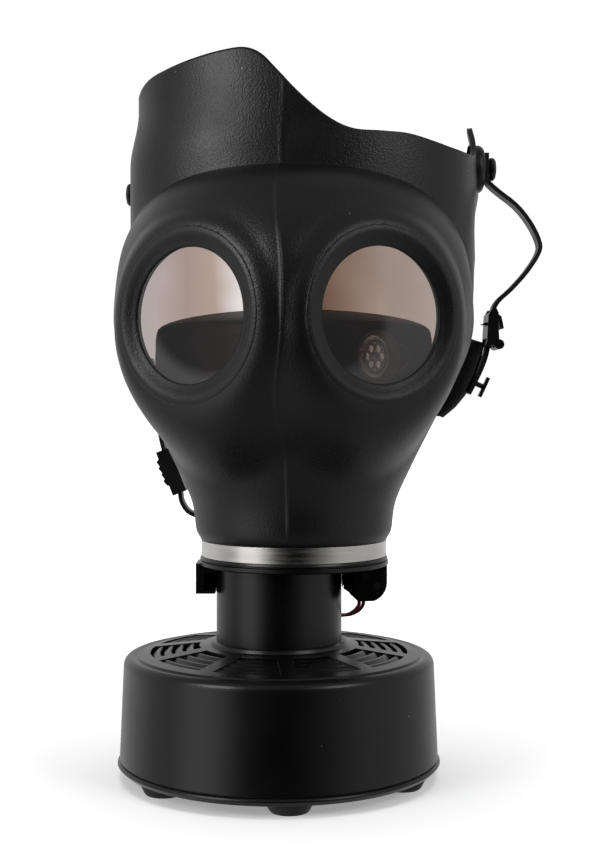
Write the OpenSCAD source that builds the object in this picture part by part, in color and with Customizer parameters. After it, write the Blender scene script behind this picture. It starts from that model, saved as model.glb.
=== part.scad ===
// Full-face respirator mask standing on its round powered filter base.
// Origin: on the floor under the centre of the round base. +Z up, -Y is the front.

/* [Base] */
// Outer radius of the bottom plate
base_r = 75.8; // [75:0.1:80]
// Height of the rubber feet
foot_h = 5.2; // [4:0.2:8]
// Thickness of the bottom plate
plate_t = 3.6; // [3:0.1:5]
// Radius of the canister at its lower edge
can_r = 74.8; // [74:0.1:75]
// Height of the canister rim above the floor
can_top = 57; // [55:1:60]
// Wall of the moulded plastic canister
can_wall = 2.6; // [2:0.1:3.2]
// Number of intake windows in the lid
windows = 10; // [8:1:12]

/* [Neck] */
// Outer radius of the neck tube
tube_r = 29.5; // [29:0.1:30]
// Height of the top of the neck tube
tube_top = 99; // [96:1:102]
// Radius of the adapter collar
collar_r = 44.5; // [44:0.1:46]
// Radius of the steel clamp band
band_r = 43.5; // [43:0.1:44]

/* [Facepiece] */
// Sideways offset of the mask from the base axis
mask_x = 7; // [4:0.5:9]
// Thickness of the moulded rubber
rubber = 2.6; // [2:0.1:3.2]
// Height of the centre of the eyepieces
eye_z = 212; // [208:1:216]
// Distance of the lens plane from the mask axis
eye_d = 78; // [77:0.5:79]
// Radius of a lens
lens_r = 30.6; // [29:0.1:31]
// Angle of each eyepiece from straight ahead
eye_angle = 32; // [30:1:34]
// Turn of the whole mask to its right
mask_yaw = 3; // [0:1:5]

/* [Hidden] */
$fn = 96;

fit = 0.05;                      // radial running clearance of a pin or shaft in its bore
plate_z = foot_h;                // underside of the bottom plate
joint_z = foot_h + plate_t;      // top of the bottom plate
can_z = joint_z + 0.6;           // lower edge of the canister, over its gasket
lid_r = 66;                      // radius of the lid inside its rounded rim
lid_z = can_top + 5.6;           // height of the lid where it meets the neck tube
lid_slope = 0.13;                // rise of the lid towards the neck tube
pitch = 360 / windows;
rib_angle = 5;                   // direction of the first rib between two windows
window_in = 37.5;
window_out = 60.5;
rib_w = 7;
grommet_r = 37;                  // distance of the cable hole from the base axis
grommet_angle = rib_angle + 4 * pitch;
lead_r = 0.9;                    // radius of an insulated lead
lead_gap = [1.05, 0.64];         // half the step from one lead to the other
motor_r = 15;
motor_z = 16;
motor_h = 20;
shaft_r = 1.5;
impeller_z = 41;
impeller_h = 11;
screw_ring = 64.6;               // distance of the base screws from the axis
screw_ribs = [1, 4, 6, 9];       // the lid ribs that stand over the base screws
bore_r = 24;                     // air passage through the collar
collar_z = tube_top + 0.1;
collar_h = 4.5;
band_z = collar_z + collar_h;
band_h = 7.2;
face_z = band_z + band_h + 0.1;  // lower edge of the facepiece
eye_left = -eye_angle - mask_yaw;
eye_right = eye_angle - mask_yaw;
skirt_c = [11, 12];               // centre of the rounded front of the forehead skirt
skirt_half = [82, 60];           // its half width and half depth
valve_angle = 34;
valve_z = 195;
strap_y = 28;                    // depth of the right side straps
right_button_z = 289.5;
left_button = [54, 281];         // depth and height of the left button
strap_w = 9;                     // width of the right side straps
neck_r = 1.3;                    // neck of the T-shaped strap studs
left_y = 40;                     // depth of the left cheek strap

rubber_black = "#1c1c1e";
plastic_black = "#222224";
steel = "#c9c7c2";

function arc(c, r, a0, a1, n) = [for (i = [0:n]) let (a = a0 + (a1 - a0) * i / n) [c.x + r * cos(a), c.y + r * sin(a)]];

// One point of a smooth curve through four neighbouring points
function blend4(a, b, c, d, t) = 0.5 * (2 * b + (c - a) * t + (2 * a - 5 * b + 4 * c - d) * t * t
    + (3 * b - a - 3 * c + d) * t * t * t);
function smooth(p, n) = let (m = len(p) - 1) concat(
    [for (i = [0:m - 1], k = [0:n - 1]) blend4(p[max(i - 1, 0)], p[i], p[i + 1], p[min(i + 2, m)], k / n)],
    [p[m]]);

// Ribbon of even thickness along a flat path
function side_step(p, i) = let (d = p[min(i + 1, len(p) - 1)] - p[max(i - 1, 0)]) [-d.y, d.x] / norm(d);
function ribbon(p, t) = concat([for (i = [0:len(p) - 1]) p[i] + side_step(p, i) * t / 2],
    [for (i = [len(p) - 1:-1:0]) p[i] - side_step(p, i) * t / 2]);

// Round tube swept along points in space
function ring_at(p, i, r, n) = let (d = p[min(i + 1, len(p) - 1)] - p[max(i - 1, 0)], w = d / norm(d),
    u0 = cross(w, [1, 0, 0]), u = u0 / norm(u0), v = cross(w, u))
    [for (k = [0:n - 1]) p[i] + r * (cos(360 * k / n) * u + sin(360 * k / n) * v)];
module swept(p, r, n) {
    m = len(p);
    points = [for (i = [0:m - 1]) each ring_at(p, i, r, n)];
    faces = concat([[for (k = [0:n - 1]) k]], [[for (k = [n - 1:-1:0]) (m - 1) * n + k]],
        [for (i = [0:m - 2], k = [0:n - 1]) [i * n + k, (i + 1) * n + k, (i + 1) * n + (k + 1) % n, i * n + (k + 1) % n]]);
    polyhedron(points, faces, convexity = 6);
}

// Placement helpers: a direction angle is measured from straight ahead (-Y), positive to +X
module around(angle, d, z) { rotate([0, 0, angle]) translate([0, -d, z]) children(); }
module facing(angle, d, z) { translate([mask_x, 0, 0]) around(angle, d, z) rotate([90, 0, 0]) children(); }
module ring(r_out, r_in, h) {
    difference() { cylinder(r = r_out, h = h); translate([0, 0, -1]) cylinder(r = r_in, h = h + 2); }
}
module along_y(y0, y1) { translate([0, y1, 0]) rotate([90, 0, 0]) linear_extrude(y1 - y0) children(); }
module along_x(x0, x1) { translate([x0, 0, 0]) rotate([90, 0, 90]) linear_extrude(x1 - x0) children(); }

// ---- Base ----
module base_plate() {
    edge = 1.6;
    ridge = [65.8, 67.3];
    seat = [38.2, 39.6];
    profile = concat([[0, plate_z], [base_r - 2, plate_z]], arc([base_r - edge, joint_z - edge], edge, 0, 90, 5),
        [[ridge[1], joint_z], [ridge[1], joint_z + 4], [ridge[0], joint_z + 4], [ridge[0], joint_z],
        [seat[1], joint_z], [seat[1], joint_z + 1.6], [seat[0], joint_z + 1.6], [seat[0], joint_z], [0, joint_z]]);
    color(plastic_black) difference() {
        rotate_extrude() polygon(profile);
        for (k = screw_ribs) around(rib_angle + pitch * k, screw_ring, 0) {
            translate([0, 0, plate_z - 1]) cylinder(r = 1.6, h = plate_t + 2);
            translate([0, 0, plate_z - 1]) cylinder(r = 3.4, h = 2.5);
            translate([0, 0, joint_z + 0.05]) cylinder(r = 4.3, h = 5);
        }
    }
}

module feet() {
    pad = [[0, 0], [8.2, 0], [9, 0.8], [11.2, foot_h], [0, foot_h]];
    color("#111112") for (k = [0:5]) around(rib_angle + 60 * k, 62, 0) rotate_extrude() polygon(pad);
}

module base_gasket() {
    color("#0b0b0b") translate([0, 0, joint_z]) ring(74.2, 72.4, 0.5);
}

module base_screws() {
    color(steel) for (k = screw_ribs) around(rib_angle + pitch * k, screw_ring, 0) difference() {
        union() {
            translate([0, 0, plate_z]) cylinder(r = 3.1, h = 1.5);
            translate([0, 0, plate_z + 1]) cylinder(r = 1.5, h = 12);
        }
        translate([-2, -0.4, plate_z - 1]) cube([4, 0.8, 1.7]);
    }
}

module filter_pleats() {
    count = 48;
    outline = [for (i = [0:2 * count - 1]) let (a = 180 * i / count, r = i % 2 == 0 ? 58.8 : 46) [r * cos(a), r * sin(a)]];
    hole = [for (i = [0:2 * count - 1]) let (a = 180 * i / count, r = i % 2 == 0 ? 55.3 : 42.5) [r * cos(a), r * sin(a)]];
    color("#d9d5c8") translate([0, 0, joint_z + 3.02]) linear_extrude(26.96) difference() { polygon(outline); polygon(hole); }
}

module filter_caps() {
    color("#4a4a4c") {
        translate([0, 0, joint_z]) ring(59.8, 39.7, 3);
        translate([0, 0, joint_z + 30]) ring(59.8, 40, 2);
    }
}

// ---- Canister ----
module window_plan(k) {
    start = rib_angle + k * pitch;
    difference() {
        intersection() {
            difference() { circle(window_out); circle(window_in); }
            rotate(start - 90) polygon([[0, 0], [200, 0], [200 * cos(pitch), 200 * sin(pitch)]]);
        }
        for (s = [0, 1]) rotate(start + s * pitch - 90) translate([0, -rib_w / 2]) square([80, rib_w]);
    }
}

module canister() {
    slat = [[0, 1.4], [0, 2.9], [0.7, 3.5], [1.5, 3.4], [3.5, 1.9], [3.5, 0.3], [2.8, 0]];
    rim = 4.2;
    slope = [lid_r, can_top + 0.4];
    outer = concat([[can_r, can_z], [can_r - 1.9, can_top - rim]],
        arc([can_r - 1.9 - rim, can_top - rim], rim, 5, 85, 6),
        [[67, can_top - 0.2], [66.4, can_top + 0.6], slope, [33, lid_z - 0.9], [32.2, lid_z + 0.6], [31, lid_z + 1], [tube_r + fit, lid_z + 1]]);
    inner = [[tube_r + fit, lid_z - 4], [33, lid_z - 4], [64.5, can_top - can_wall], [67.2, can_top - rim - 1], [can_r - can_wall, can_z]];
    color(plastic_black) difference() {
        union() {
            rotate_extrude() polygon(concat(outer, inner));
            for (k = screw_ribs) around(rib_angle + pitch * k, screw_ring, can_z) cylinder(r = 4, h = 45);
            for (k = screw_ribs) around(rib_angle + pitch * k, 0, can_z + 0.5) translate([-1.2, -73, 0]) cube([2.4, 8, 37.5]);
        }
        difference() {
            for (k = [0:windows - 1]) translate([0, 0, can_top - 8]) linear_extrude(20) window_plan(k);
            for (r = [40.2, 45.4, 50.6, 55.8]) rotate_extrude()
                translate([r, can_top + 0.4 + (lid_r - r) * lid_slope - 4]) polygon(slat);
        }
        for (k = screw_ribs) around(rib_angle + pitch * k, screw_ring, joint_z - 1) cylinder(r = 1.5 + fit, h = 12);
        around(grommet_angle, grommet_r, 40) cylinder(r = 3, h = 40);
    }
}

module louvre_ring() {
    slat = [[0, 3.4], [4.4, 0], [4.4, 1.4], [0, 4.8]];
    color("#2c2c2e") difference() {
        union() {
            for (r = [39.5, 44.5, 49.5, 54.5]) translate([0, 0, 48.4 - (r - 39.5) * 0.16])
                rotate_extrude() translate([r, 0]) polygon(slat);
            for (k = [0:windows - 1]) around(rib_angle + k * pitch, 0, 44.8)
                translate([-1.2, -62, 0]) cube([2.4, 22.6, 6]);
        }
        for (k = screw_ribs) around(rib_angle + pitch * k, screw_ring, 40) cylinder(r = 4.3, h = 20);
    }
}

module neck_tube() {
    color(plastic_black) difference() {
        union() {
            cylinder(r = tube_r, h = tube_top - 0.01);
            translate([0, 0, lid_z - 6.4]) cylinder(r = tube_r + 1, h = 2.3);
        }
        translate([0, 0, -1]) cylinder(r = tube_r - 2.8, h = 200);
        translate([0, 0, -1]) cylinder(r = 60, h = lid_z - 6.4 + 1);
    }
}

module motor_bracket() {
    color("#3a3a3c") difference() {
        union() {
            translate([0, 0, motor_z + motor_h]) cylinder(r = 20, h = 1.6);
            for (k = [0:2]) around(90 + 120 * k, 0, motor_z + motor_h) translate([-4, -35.5, 0]) cube([8, 35.5, 1.6]);
            for (k = [0:2]) around(90 + 120 * k, 0, motor_z + motor_h) translate([-4, -35.5, 0]) cube([8, 2.4, 22.2]);
        }
        translate([0, 0, motor_z]) cylinder(r = 4.5, h = 40);
        for (k = [0:2]) around(30 + 120 * k, 10, motor_z) cylinder(r = 1.3, h = 40);
    }
}

module motor() {
    color("#8d8d90") difference() {
        union() {
            translate([0, 0, motor_z]) cylinder(r = motor_r, h = motor_h);
            translate([0, 0, motor_z + motor_h - 0.5]) cylinder(r = 4.3, h = 2);
            translate([terminal.x - 2.3, terminal.y - 3.6, motor_z]) cube([4.6, 5.4, terminal.z - motor_z]);
        }
        translate([0, 0, motor_z + 4]) cylinder(r = shaft_r + fit, h = 40);
        for (k = [0:2]) around(30 + 120 * k, 10, motor_z + motor_h - 4) cylinder(r = 1, h = 10);
    }
}

module motor_screws() {
    color(steel) for (k = [0:2]) around(30 + 120 * k, 10, motor_z + motor_h) {
        translate([0, 0, -4]) cylinder(r = 1, h = 6);
        translate([0, 0, 1.6]) cylinder(r = 2, h = 1.2);
    }
}

module motor_shaft() {
    color(steel) translate([0, 0, motor_z + 5]) cylinder(r = shaft_r, h = impeller_z + 8 - motor_z - 5);
}

module impeller() {
    blades = 9;
    color("#3c4046") translate([0, 0, impeller_z]) difference() {
        union() {
            cylinder(r = 24, h = 1.4);
            cylinder(r = 5, h = 8);
            translate([0, 0, impeller_h - 1.4]) ring(24, 16, 1.4);
            for (k = [0:blades - 1]) rotate([0, 0, k * 360 / blades]) translate([12, 0, 0])
                rotate([0, 0, 40]) translate([0, -0.6, 0.5]) cube([12.6, 1.2, impeller_h - 1]);
        }
        translate([0, 0, -1]) cylinder(r = shaft_r, h = 20);
    }
}

module wire_grommet() {
    lid_here = lid_z - 1.8;
    color("#0c0c0c") difference() {
        around(grommet_angle, grommet_r, 0) {
            translate([0, 0, lid_here - 4.2]) cylinder(r = 2.8, h = 6);
            translate([0, 0, lid_here + 0.9]) cylinder(r = 3.9, h = 1.4);
        }
        for (s = [-1, 1]) translate([grommet_at.x + s * lead_gap.x, grommet_at.y + s * lead_gap.y, lid_here - 10])
            cylinder(r = 1.1, h = 30);
    }
}

// Both leads run from the collar bracket, behind the neck tube, through the lid to the terminals of the motor
lead_start = [39, 2];
grommet_at = [grommet_r * sin(grommet_angle), -grommet_r * cos(grommet_angle)];
terminal = [9.1, 15.1, 19.4];
module lead(side, colour) {
    route = concat([[lead_start.x, lead_start.y, 84], [lead_start.x, lead_start.y, 81], [38.8, 5, 78.6], [37, 12, 75],
        [33.6, 20, 72], [28.5, 27, 70.5], [22.8, 31, 69.4], [19.4, 31.8, 67.5]],
        [for (z = [65, 60, 54]) [grommet_at.x, grommet_at.y, z]],
        [[18.4, 30.6, 46], [17, 28, 41], [9.3, 15.4, 23], [terminal.x, terminal.y, 21], terminal + [0, 0, 0.1]]);
    color(colour) swept([for (p = smooth(route, 4)) p + side * [lead_gap.x, lead_gap.y, 0]], lead_r, 8);
}
module red_wire() { lead(-1, "#b5121b"); }
module black_wire() { lead(1, "#151515"); }

// ---- Collar ----
bracket = concat([[29.7, 91.4], [29.7, 89]], [[37, 82.4]], arc([41.2, 91.3], 9.3, -70, 0, 6), [[50.5, 99.2], [29.7, 99.2]]);

module collar() {
    lip = 1.1;
    flange = concat([[bore_r, collar_z], [collar_r - 0.6, collar_z], [collar_r, collar_z + 0.5], [collar_r, collar_z + 2.1],
        [collar_r - lip, collar_z + 2.5], [collar_r - lip, collar_z + 2.9], [collar_r - 0.3, collar_z + 3.2],
        [collar_r - 0.8, band_z - 0.1], [41.9, band_z - 0.1], [41.9, face_z + 8], [38.5, face_z + 8], [38.5, band_z], [bore_r, band_z - 1]]);
    color(plastic_black) difference() {
        union() {
            translate([mask_x, 0, 0]) rotate_extrude() polygon(flange);
            translate([0, 0, collar_z - 8]) cylinder(r = tube_r - 3, h = 10);
            along_y(-9, 9) polygon(bracket);
            translate([-38.7, -9, 86]) cube([9, 18, collar_z + 1 - 86]);
        }
        translate([0, 0, 80]) cylinder(r = bore_r, h = 30);
        translate([-35.4, -10, 87.2]) cube([7, 17, 8.6]);
        along_y(-10, 4) translate([30, 86]) square([7, 9]);
        translate([27, -10, 91.4]) cube([6.5, 14, 2.8]);
        for (s = [-1, 1]) translate([lead_start.x + s * lead_gap.x, lead_start.y + s * lead_gap.y, 78]) cylinder(r = 1.25, h = 8);
        for (p = [[40, 94.5], [45.5, 90]]) translate([p.x, 4, p.y]) rotate([90, 0, 0]) cylinder(r = 0.9, h = 20);
    }
}

module collar_cover() {
    color("#262628") difference() {
        along_y(-11, -9.05) polygon(concat([[30.2, 88.6]], [[37.6, 83.6]], arc([41.2, 91.2], 8, -60, 0, 5), [[49.2, 97.6], [35.5, 97.6], [35.5, 90], [30.2, 90]]));
        for (p = [[40, 94.5], [45.5, 90]]) translate([p.x, 0, p.y]) rotate([90, 0, 0]) cylinder(r = 1, h = 20);
    }
}

module cover_screws() {
    color(steel) for (p = [[40, 94.5], [45.5, 90]]) translate([p.x, -4, p.y]) rotate([90, 0, 0]) {
        cylinder(r = 0.88, h = 7.2);
        translate([0, 0, 7.05]) cylinder(r = 1.7, h = 0.9);
    }
}

module collar_seal() {
    color("#0b0b0b") translate([mask_x, 0, face_z + 8]) ring(41.6, 38.8, 1.2);
}

module clamp_band() {
    color(steel) difference() {
        union() {
            translate([mask_x, 0, band_z]) ring(band_r, 42.25, band_h);
            for (s = [-1, 1]) translate([mask_x + s * 4.5 - 0.75, 42.3, band_z]) cube([1.5, 9.7, band_h]);
        }
        translate([mask_x - 3.7, 40, band_z - 1]) cube([7.4, 20, band_h + 2]);
        translate([mask_x - 20, 48.5, band_z + band_h / 2]) rotate([0, 90, 0]) cylinder(r = 1.6, h = 40);
    }
}

module clamp_screw() {
    color("#9b9b9e") translate([mask_x - 9, 48.5, band_z + band_h / 2]) rotate([0, 90, 0]) difference() {
        union() { cylinder(r = 1.5, h = 18); translate([0, 0, 14.7]) cylinder(r = 3.2, h = 3.3); }
        translate([-4, -0.4, 17]) cube([8, 0.8, 2]);
    }
}

module clamp_nut() {
    color(steel) translate([mask_x - 8.6, 48.5, band_z + band_h / 2]) rotate([0, 90, 0]) difference() {
        cylinder(r = 3.2, h = 3.2, $fn = 6);
        translate([0, 0, -1]) cylinder(r = 1.5 + fit, h = 10);
    }
}

// ---- Facepiece ----
bulb = smooth([[46, 115], [48, 129], [55, 145], [66, 167], [77, 188], [83.2, 205], [84, 220], [81, 243],
    [75, 258], [66, 270], [54, 277.5], [38, 281], [16, 282]], 3);
function thinner(p, t) = [for (q = p) [q.x - t, q.y - (q.y > 240 ? t * (q.y - 240) / 46 : 0)]];

module bulb_solid(t) {
    side = thinner(bulb, t);
    foot = t == 0 ? [[0, face_z], [band_r + 0.1, face_z]] : [[0, 100], [42, 100]];
    translate([mask_x, 0, 0]) rotate_extrude() polygon(concat(foot, side, [[0, side[len(side) - 1].y]]));
}

function skirt_path(t) = concat([[-73 + t, 62], [-72 + t, 38]], [for (i = [0:24]) let (a = 180 + 180 * i / 24)
    [skirt_c.x + (skirt_half.x - t) * cos(a), skirt_c.y + (skirt_half.y - t) * sin(a)]], [[94.6 - t, 27], [97 - t, 42]]);

// Outline of the forehead skirt from the front, then of its left and right sides
skirt_front = [[-100, 196], [-79, 196], [-74, 178], [-66, 172], [-50, 215], [80, 215], [99, 215], [101, 300], [98, 305],
    [95.5, 308.4], [93.5, 308.4], [91, 301], [87, 296.5], [80, 295.5], [70, 297.5], [58, 300], [46, 299], [33, 296.5], [22, 301],
    [9, 310.5], [-2, 322], [-9, 328.6], [-17, 331], [-28, 330.4], [-42, 328], [-55, 325.5], [-64, 324], [-72, 320], [-80, 314]];
skirt_left = [[-60, 235], [30, 240], [40, 258], [54, 266], [64, 272], [66, 283], [62, 296], [52, 306], [36, 318], [20, 332], [-60, 340]];
skirt_right = [[-60, 215], [12, 215], [20, 236], [27, 262], [37, 275], [42, 288], [39, 300], [32, 309], [24, 310], [14, 300],
    [0, 320], [-60, 340]];
module skirt() {
    difference() {
        intersection() {
            translate([0, 0, 160]) linear_extrude(180) polygon(concat(skirt_path(0), [for (i = [28:-1:0]) skirt_path(rubber)[i]]));
            along_y(-60, 70) polygon(skirt_front);
            union() { along_x(-90, 10) polygon(skirt_left); along_x(9.99, 110) polygon(skirt_right); }
        }
        bulb_solid(rubber);
        translate([-100, -60, 100]) cube([210, 72, 140]);
    }
}

// Flat flange round the face opening, with a cheek tab turned back on each side
flange = [[-68, 262], [-72, 250], [-74, 235], [-73, 215], [-71.6, 196], [-69, 187], [-65.6, 177], [-62, 169.5], [-40, 150], [54, 150], [68, 160],
    [80, 168.5], [86, 173.5], [91, 179.5], [95.5, 189], [98.6, 197.5], [100.2, 205], [95, 204.5], [91, 207], [88.5, 214],
    [88, 225], [90, 236], [93, 250], [93.5, 262]];
tab_right = [[99.3, 203.2], [98.2, 197.5], [95.2, 189], [90.8, 180], [86, 174.2]];
tab_left = [[-64.5, 196], [-62.6, 187], [-60.4, 177], [-57.6, 170]];
module face_flange() {
    difference() {
        union() {
            along_y(28.4, 31) polygon(flange);
            along_y(28.4, 42) polygon(ribbon(tab_right, 2));
            along_y(28.4, 46) polygon(ribbon(tab_left, 2));
        }
        bulb_solid(rubber);
    }
}

module facepiece() {
    color(rubber_black) difference() {
        union() {
            difference() {
                bulb_solid(0);
                bulb_solid(rubber);
                translate([0, 0, 240]) linear_extrude(60) polygon(skirt_path(rubber));
                along_x(-100, 120) polygon([[30.9, 300], [30.9, 192], [58, 152], [100, 152], [100, 300]]);
            }
            skirt();
            face_flange();
            temple_boss();
            for (a = [eye_left, eye_right]) facing(a, 72, eye_z) cylinder(r = 38.6, h = 7.2);
        }
        for (a = [eye_left, eye_right]) facing(a, 60, eye_z) cylinder(r = 32, h = 40);
        for (a = [eye_left, eye_right]) facing(a, eye_d - 0.8, eye_z) cylinder(r = 35.8, h = 12);
        for (a = [eye_left, eye_right]) facing(a, eye_d + 1.2, eye_z) cylinder(r = 38.8, h = 12);
        for (a = [eye_left, eye_right]) facing(a, 60, eye_z) cylinder(r = 36.6, h = 14);
        translate([-90, left_button.x, left_button.y]) rotate([0, 90, 0]) cylinder(r = 2.1, h = 30);
        translate([80, strap_y, right_button_z]) rotate([0, 90, 0]) cylinder(r = 2.1, h = 30);
        at_t_right() cylinder(r = 1.6, h = 20, center = true);
        at_t_left() cylinder(r = 1.6, h = 20, center = true);
    }
}

module eye_rim(angle) {
    funnel = [[29.2, 0], [35.4, 0], [35.6, 0.5], [35.5, 2.6], [34.9, 3.3], [34, 3.4], [33, 3], [29.6, 0.9], [29.2, 0.6]];
    color("#202022") facing(angle, eye_d - 0.75, eye_z) rotate_extrude() polygon(funnel);
}
module eye_rim_left() { eye_rim(eye_left); }
module eye_rim_right() { eye_rim(eye_right); }

module eye_gasket(angle) {
    color("#0b0b0b") facing(angle, 74.1, eye_z) ring(31.9, 30.75, 3.1);
}
module eye_gasket_left() { eye_gasket(eye_left); }
module eye_gasket_right() { eye_gasket(eye_right); }

// A shallow dome, thicker than a flat disc only at its centre
module lens(angle) {
    dome = 180;
    rise = dome - sqrt(dome * dome - lens_r * lens_r);
    edge = asin(lens_r / dome);
    outer = [for (i = [0:6]) let (a = edge * i / 6) [dome * sin(a), dome * cos(a) - dome + rise]];
    inner = [for (q = outer) q - [0, 1.8]];
    color("#d8c9c4", 0.35) facing(angle, 76.9, eye_z)
        rotate_extrude() polygon(concat(outer, [for (i = [6:-1:0]) inner[i]]));
}
module lens_left() { lens(eye_left); }
module lens_right() { lens(eye_right); }

module eye_retainer(angle) {
    color("#2a2a2c") facing(angle, 71.2, eye_z) ring(35.8, 30.2, 2.7);
}
module eye_retainer_left() { eye_retainer(eye_left); }
module eye_retainer_right() { eye_retainer(eye_right); }

cup = smooth([[39, 121], [41, 132], [48, 146], [57, 162], [63, 178], [64.9, 192], [64.8, 200],
    [64.5, 206], [62, 210.5], [50, 214.3], [28, 217.2], [0, 218]], 3);

module inner_mask() {
    inside = [for (q = cup) [max(q.x - 1.8, 0), q.y - (q.y > 200 ? 1.8 : 0)]];
    color("#343436") difference() {
        union() {
            translate([mask_x, 0, 0]) rotate_extrude()
                polygon(concat(cup, [for (i = [len(cup) - 1:-1:0]) inside[i]]));
            facing(valve_angle, 60.5, valve_z) cylinder(r = 12.4, h = 4.5);
        }
        along_x(-100, 120) polygon([[8, 300], [8, 190], [34, 150], [100, 150], [100, 300]]);
        facing(valve_angle, 50, valve_z) cylinder(r = 9.6, h = 30);
    }
}

module valve_seat() {
    color("#c8c8ca") facing(valve_angle, 60, valve_z) difference() {
        union() {
            cylinder(r = 9.55, h = 5.1);
            translate([0, 0, 5.02]) cylinder(r = 11.6, h = 1.4);
        }
        translate([0, 0, -1]) cylinder(r = 8, h = 3.4);
        for (a = [0:60:300]) rotate([0, 0, a]) translate([3.9, 0, -1]) cylinder(r = 1.7, h = 10);
        for (a = [30:60:330]) rotate([0, 0, a]) translate([5.9, 0, -1]) cylinder(r = 0.8, h = 10);
        translate([0, 0, -1]) cylinder(r = 0.85, h = 10);
        translate([0, 0, 4]) cylinder(r = 7, h = 10);
    }
}

// The flap opens inward, off the perforated seat, on its own stem
module valve_disc() {
    color("#dcdce0", 0.6) facing(valve_angle, 60, valve_z) {
        translate([0, 0, 1.5]) cylinder(r = 7.6, h = 0.6);
        translate([0, 0, 1.5]) cylinder(r = 0.8, h = 4.7);
    }
}

// A bent wire that lies on the rim of the valve seat
module valve_clip() {
    wire_r = 0.45;
    color("#bdbdc2") facing(valve_angle, 66.5 + wire_r, valve_z)
        swept([[9.4, 4.7, 0], [13.7, 5.2, 0], [16.2, 0.5, 0], [14.4, -3.7, 0], [0, -12.1, 0]], wire_r, 8);
}

module temple_boss() {
    bead = concat([[0, 0], [10.8, 0]], arc([8.4, 2.6], 2.9, -30, 90, 5), [[0, 5.2]]);
    translate([94.4, strap_y, right_button_z]) rotate([0, 90, 0]) rotate_extrude() polygon(bead);
}

// ---- Straps and fittings ----
// The +Z of these points out of the tab that the stud stands on
module at_t_right() { translate([93.6, 35, 186.4]) rotate([0, 115, 0]) children(); }
module at_t_left() { translate([-61.9, left_y, 183.6]) rotate([0, -102.4, 0]) children(); }

module button(side, gap) {
    head = [[0, 0], [2, 0], [2, gap], [4.8, gap], [5.6, gap + 0.8], [5.6, gap + 2.2], [4.6, gap + 3.2], [2.2, gap + 3.7], [0, gap + 3.7]];
    color("#19191b") rotate([0, side * 90, 0]) {
        rotate_extrude() polygon(head);
        translate([0, 0, -1.5]) cylinder(r = 5, h = 1.4);
        translate([0, 0, -1.5]) cylinder(r = 2, h = 3);
    }
}
module button_right() { translate([91.2, strap_y, right_button_z]) button(1, 11.1); }
module button_left() { translate([-69.9, left_button.x, left_button.y]) button(-1, 5); }

module washer_left() {
    color("#141416") translate([-74.8, left_button.x, left_button.y]) rotate([0, 90, 0]) ring(8.6, 2.1, 1.6);
}

loop_path = smooth([[101.1, 297], [101.1, 290], [101.2, 284], [106, 279], [115.5, 271.5], [122, 263.5], [126.4, 255], [126.8, 249],
    [121, 239.5], [113, 230.5], [107, 225], [104.4, 220], [103.6, 212.4]], 3);
module strap_right() {
    color("#1a1a1b") difference() {
        along_y(strap_y - strap_w / 2, strap_y + strap_w / 2) polygon(ribbon(loop_path, 2));
        translate([90, strap_y, right_button_z]) rotate([0, 90, 0]) cylinder(r = 2.1, h = 30);
    }
}

module buckle_right() {
    side_view = [[100.8, 203], [106.6, 203], [107, 205], [106.6, 212], [106.6, 219], [105.6, 221], [103.4, 221], [101.6, 218]];
    color("#141415") difference() {
        union() {
            along_y(strap_y - 7, strap_y + 11.4) polygon(side_view);
            along_y(strap_y - 3, strap_y + 3) polygon([[98.6, 213.6], [102, 212.4], [102, 214.8]]);
            translate([107, strap_y - 7, 203.6]) rotate([-90, 0, 0]) cylinder(r = 2.4, h = 18.4);
        }
        translate([102.2, strap_y - 5.2, 200]) cube([2.9, 14.8, 25]);
        translate([105, strap_y - 5.2, 206.2]) cube([6, 10.4, 16]);
        translate([105, strap_y - 5.2, 198]) cube([6, 10.4, 3.2]);
        translate([100, strap_y - 5.2, 200]) cube([3, 14.8, 6.6]);
        translate([106.3, strap_y - 9, 216.6]) rotate([-90, 0, 0]) cylinder(r = 0.85, h = 20);
    }
}

module buckle_lever() {
    leaf = [[105.6, 217.6], [106.6, 218.4], [108.2, 217.4], [109, 214], [109.4, 211.4], [108.3, 211], [107.6, 213.8], [106.9, 215.6]];
    color("#1f1f21") {
        translate([106.3, strap_y - 6.8, 216.6]) rotate([-90, 0, 0]) cylinder(r = 0.8, h = 13.6);
        along_y(strap_y - 4.9, strap_y + 4.9) polygon(leaf);
    }
}

tail_path = smooth([[103.6, 211.8], [103.5, 208], [102.9, 204.6], [101.1, 196.6], [97.7, 188.4], [93.2, 179.6]], 3);
module cheek_strap_right() {
    color("#1a1a1b") difference() {
        along_y(strap_y, strap_y + 9.4) polygon(ribbon(tail_path, 1.9));
        at_t_right() cylinder(r = 1.6, h = 20, center = true);
    }
}

// A stud with a bar across its end, seated in a cheek tab from the inside
module t_stud(reach) {
    color("#161617") {
        translate([0, 0, -3]) cylinder(r = 3.2, h = 1.3);
        translate([0, 0, -3]) cylinder(r = 1.5, h = 4.6);
        cylinder(r = neck_r, h = reach + 0.4);
        translate([-5.2, -2, reach]) cube([10.4, 4, 1.7]);
    }
}
module t_stud_right() { at_t_right() t_stud(7.6); }
module t_stud_left() { at_t_left() t_stud(4.6); }

left_path = smooth([[-67.2, 198], [-65.9, 191], [-64.4, 184], [-62.9, 177], [-61.3, 169], [-59.8, 160], [-57.9, 151.6], [-54, 141], [-50.2, 131.4],
    [-49.2, 126], [-46, 121], [-41, 118.6]], 3);
module cheek_strap_left() {
    color("#1a1a1b") difference() {
        along_y(left_y - 5, left_y + 5) polygon(ribbon(left_path, 2));
        at_t_left() cylinder(r = 1.6, h = 20, center = true);
    }
}

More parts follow.
